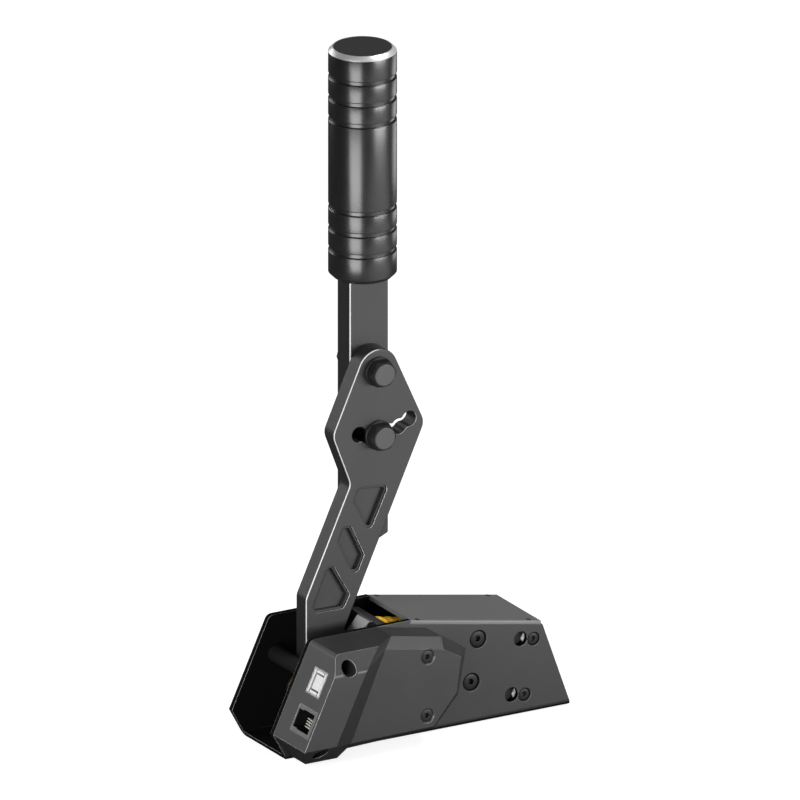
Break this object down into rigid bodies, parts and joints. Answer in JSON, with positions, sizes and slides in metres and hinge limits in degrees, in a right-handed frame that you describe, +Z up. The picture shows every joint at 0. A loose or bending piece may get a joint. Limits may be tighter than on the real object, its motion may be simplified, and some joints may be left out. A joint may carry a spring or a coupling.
{
  "type": "sim racing handbrake",
  "caption": "Pull lever with a tall round grip on a folded sheet base, pushing a sprung rod, with a side electronics housing and angle sensor.",
  "frame": {"origin": "centre of the four base bolts, on the underside of the base", "axes": "+Z up, +X towards the tail, the way the grip is pulled; the electronics housing is on -Y"},
  "size_m": [0.1739, 0.0835, 0.3631],
  "materials": {
    "base_black": "fine satin black powder coat",
    "cover_black": "fine satin black coat",
    "lever_black": "black anodised, satin",
    "bar_black": "black anodised, satin",
    "grip_black": "gloss black anodised with a polished top chamfer",
    "cap_black": "matte",
    "black_steel": "black oxide",
    "bright_steel": "plain machined",
    "zinc_steel": "bright zinc",
    "bronze": "sintered bronze",
    "block_alu": "machined, clear anodised",
    "dark_plate": "dark grey",
    "spring_yellow": "yellow enamel",
    "block_black": "black anodised",
    "rubber_black": "soft black",
    "housing_plastic": "fine moulded texture",
    "board_green": "solder mask",
    "chip_black": "moulded",
    "nickel": "nickel plated",
    "white_plastic": "ivory white",
    "jack_grey": "dark grey",
    "gold": "gold plated"
  },
  "bodies": {
    "base": {"chassis": "base_black", "base_nuts": "zinc_steel", "top_cover": "cover_black", "top_cover_screws": "black_steel", "pivot_bushes": "bronze", "spring": "spring_yellow", "guide_block": "block_black", "guide_bush": "bronze", "guide_screws": "black_steel", "end_block": "block_black", "end_block_screws": "black_steel", "stop_screw": "zinc_steel", "stop_lock_nut": "zinc_steel", "bump_pad": "rubber_black", "cross_standoffs": "zinc_steel", "standoff_screws": "black_steel", "front_stop_pin": "bright_steel", "stop_sleeve": "rubber_black", "stop_pin_screws": "black_steel", "electronics_housing": "housing_plastic", "housing_panel_screws": "black_steel", "housing_deep_screws": "black_steel", "circuit_board": "board_green", "board_spacers": "nickel", "board_screws": "zinc_steel", "angle_sensor": "chip_black", "controller_chip": "chip_black", "usb_socket": "nickel", "usb_insulator": "white_plastic", "modular_jack": "jack_grey", "jack_contacts": "gold"},
    "lever": {"lever_arm": "lever_black", "pivot_shaft": "bright_steel", "pivot_spacers": "bright_steel", "circlips": "black_steel", "sensor_magnet": "nickel"},
    "handle": {"handle_bar": "bar_black", "grip_sleeve": "grip_black", "grip_cap": "cap_black", "grip_bolt": "zinc_steel", "clamp_bolts": "black_steel", "bolt_washers": "black_steel", "clamp_nuts": "black_steel"},
    "plunger": {"push_block": "block_alu", "spring_plate": "dark_plate", "plunger_rod": "bright_steel", "rod_washer": "zinc_steel", "rod_nut": "zinc_steel"}
  },
  "joints": [
    {"name": "lever_pull", "type": "hinge", "parent": "base", "child": "lever", "pos_m": [-0.0505, 0, 0.0206], "axis": [0, 1, 0], "range_deg": [0, 12], "stiffness_Nm_per_rad": 120, "springref_deg": -2.12},
    {"name": "plunger_slide", "type": "slide", "parent": "base", "child": "plunger", "axis": [0.9839, 0, -0.1788], "range_m": [0, 0.0058], "deforming": ["spring"]},
    {"name": "handle_angle", "type": "hinge", "parent": "lever", "child": "handle", "pos_m": [-0.0196, 0, 0.1933], "axis": [0, 1, 0], "range_deg": [-32, 19]}
  ],
  "couplings": [
    {"joint": "plunger_slide", "follows": "lever_pull", "m_per_rad": 0.0272}
  ]
}
